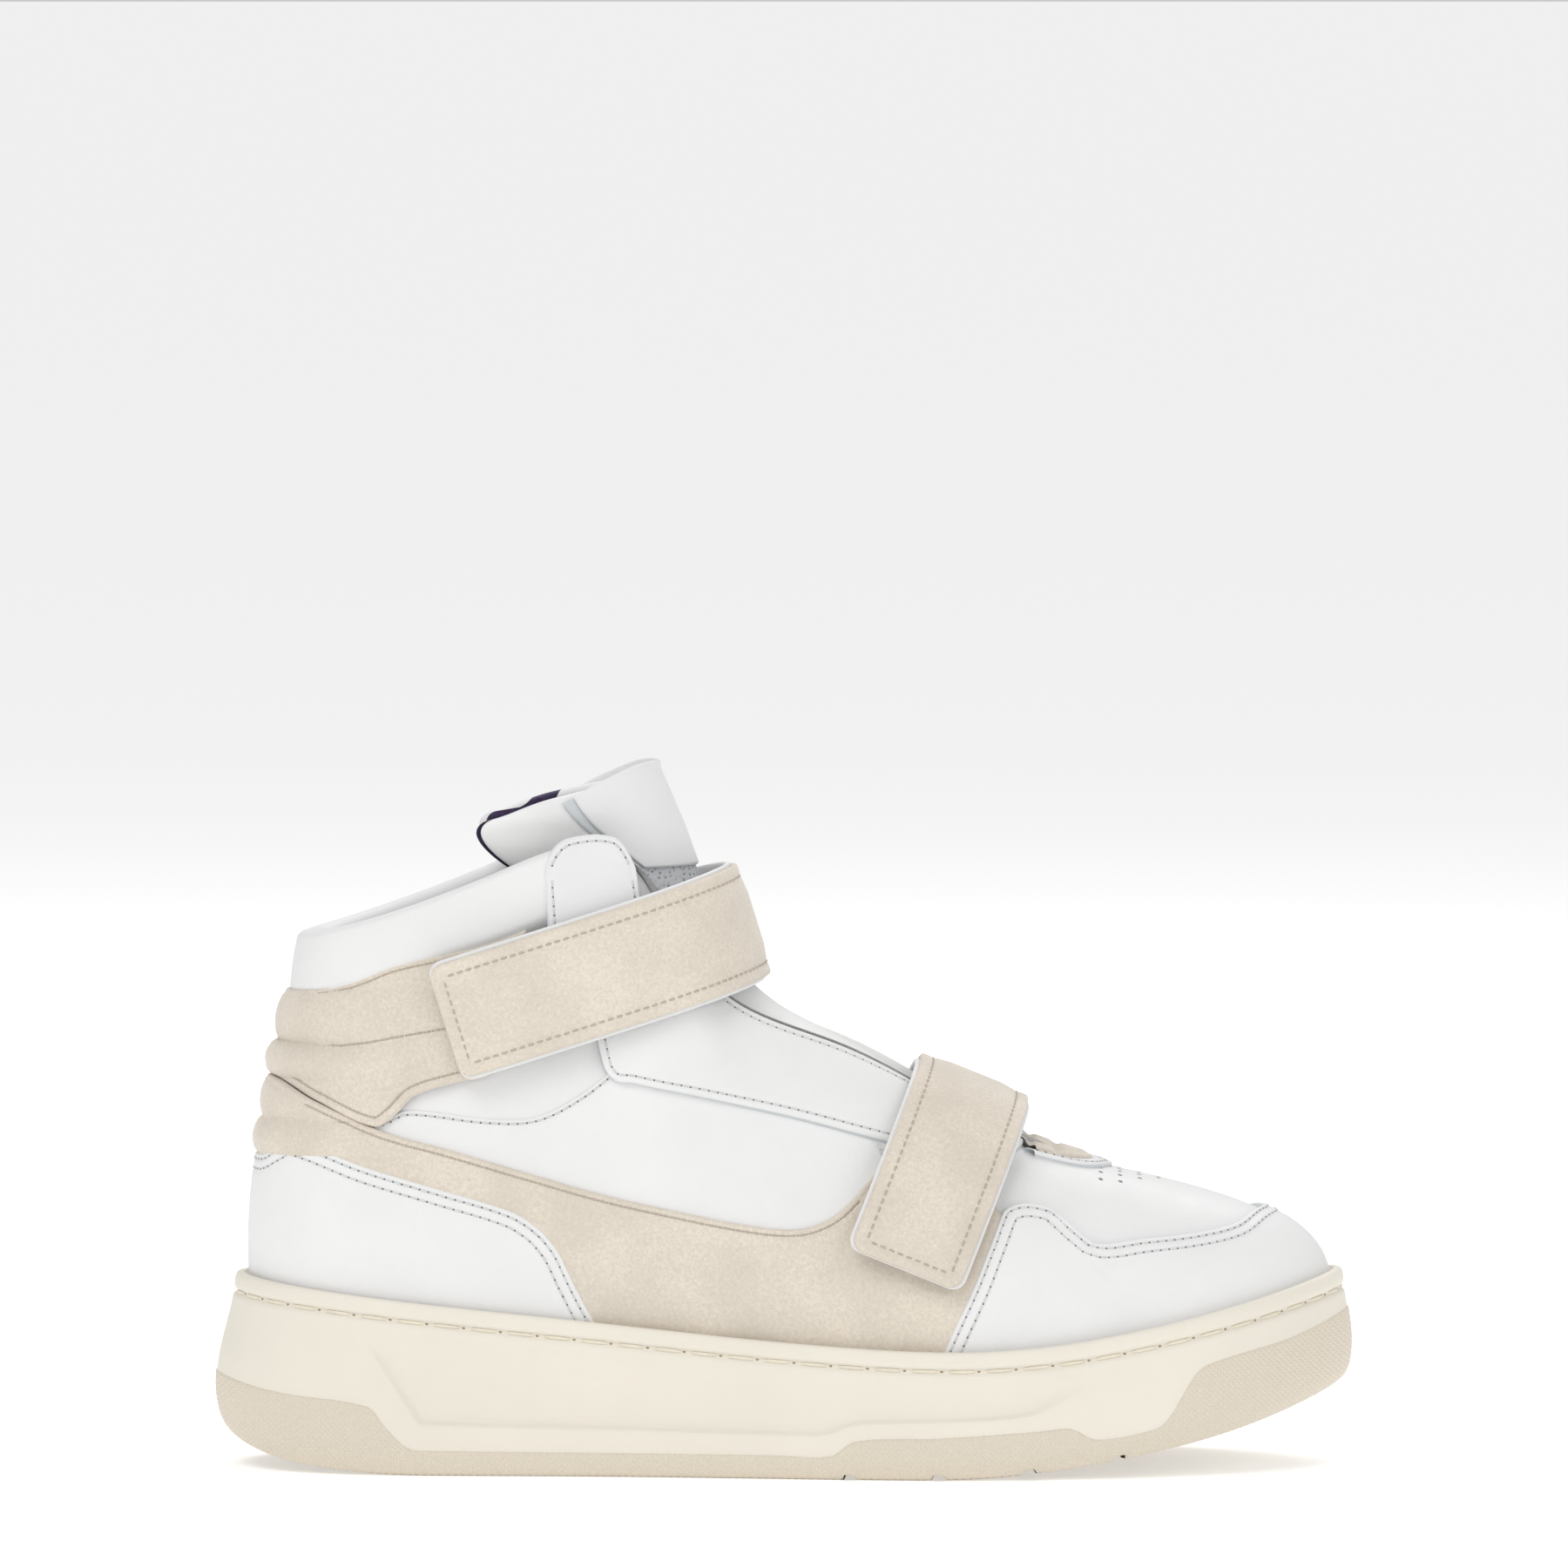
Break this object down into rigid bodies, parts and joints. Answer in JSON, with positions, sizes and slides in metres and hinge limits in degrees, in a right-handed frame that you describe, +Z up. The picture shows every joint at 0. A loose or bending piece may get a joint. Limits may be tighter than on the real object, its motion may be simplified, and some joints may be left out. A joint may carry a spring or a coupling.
{
  "type": "high-top sneaker",
  "caption": "White leather and cream suede high-top basketball shoe for the right foot, with padded hook-and-loop straps over ankle and instep, on a stitched cream cupsole.",
  "frame": {"origin": "centre of the bounding box's footprint, on the ground plane", "axes": "+X towards the toe, +Y towards the inner (medial) side, +Z up"},
  "size_m": [0.2902, 0.11, 0.1776],
  "materials": {
    "white_leather": "smooth matte leather",
    "cream_suede": "brushed suede",
    "cream_rubber": "matte moulded",
    "tinted_rubber": "matte, finely textured",
    "foam": "soft cellular foam",
    "spring_steel": "brushed",
    "fibre_board": "pressed fibre",
    "navy_lining": "brushed knit",
    "stiffener": "thermoformed sheet",
    "loop_pile": "loop pile",
    "hook_tape": "moulded hooks",
    "mesh": "open knit mesh"
  },
  "bodies": {
    "shoe": {"outsole": "tinted_rubber", "cupsole": "cream_rubber", "midsole_foam": "foam", "shank": "spring_steel", "insole_board": "fibre_board", "footbed": "foam", "collar_lining": "navy_lining", "vamp_lining": "navy_lining", "heel_counter": "stiffener", "collar_foam": "foam", "toe_puff": "stiffener", "vamp": "white_leather", "lateral_quarter": "white_leather", "medial_quarter": "white_leather", "lateral_ankle_side": "white_leather", "medial_ankle_side": "white_leather", "collar_pad": "white_leather", "lateral_saddle_band": "cream_suede", "medial_saddle_band": "cream_suede", "ankle_panel": "cream_suede", "throat_insert": "cream_suede", "heel_overlay": "white_leather", "toe_mudguard": "white_leather", "lateral_eyestay": "white_leather", "medial_eyestay": "white_leather", "lateral_collar_tab": "white_leather", "medial_collar_tab": "white_leather", "ankle_loop_patch": "loop_pile", "forefoot_loop_patch": "loop_pile", "ankle_strap_anchor": "cream_suede", "forefoot_strap_anchor": "cream_suede", "tongue_base": "mesh"},
    "ankle_band": {"ankle_strap_band": "cream_suede"},
    "ankle_tab": {"ankle_strap_tab": "cream_suede", "ankle_hook_patch": "hook_tape"},
    "forefoot_band": {"forefoot_strap_band": "cream_suede"},
    "forefoot_tab": {"forefoot_strap_tab": "cream_suede", "forefoot_hook_patch": "hook_tape"},
    "tongue": {"tongue_shell": "mesh", "tongue_lining": "navy_lining", "tongue_label": "white_leather"}
  },
  "joints": [
    {"name": "ankle_band_hinge", "type": "hinge", "parent": "shoe", "child": "ankle_band", "pos_m": [-0.04161, 0.0385, 0.12872], "axis": [-0.2998, 0, 0.954], "range_deg": [0, 60]},
    {"name": "ankle_tab_hinge", "type": "hinge", "parent": "ankle_band", "child": "ankle_tab", "pos_m": [-0.03867, -0.03804, 0.12964], "axis": [-0.2998, 0, 0.954], "range_deg": [0, 50]},
    {"name": "forefoot_band_hinge", "type": "hinge", "parent": "shoe", "child": "forefoot_band", "pos_m": [0.04134, 0.03929, 0.08054], "axis": [-0.9272, 0, 0.3746], "range_deg": [0, 65]},
    {"name": "forefoot_tab_hinge", "type": "hinge", "parent": "forefoot_band", "child": "forefoot_tab", "pos_m": [0.04063, -0.04038, 0.07881], "axis": [-0.9272, 0, 0.3746], "range_deg": [0, 50]},
    {"name": "tongue_hinge", "type": "hinge", "parent": "shoe", "child": "tongue", "pos_m": [0.028, 0, 0.097], "axis": [0, 1, 0], "range_deg": [0, 9]}
  ],
  "couplings": [
    {"joint": "tongue_hinge", "follows": "ankle_band_hinge", "ratio": 0.15}
  ]
}
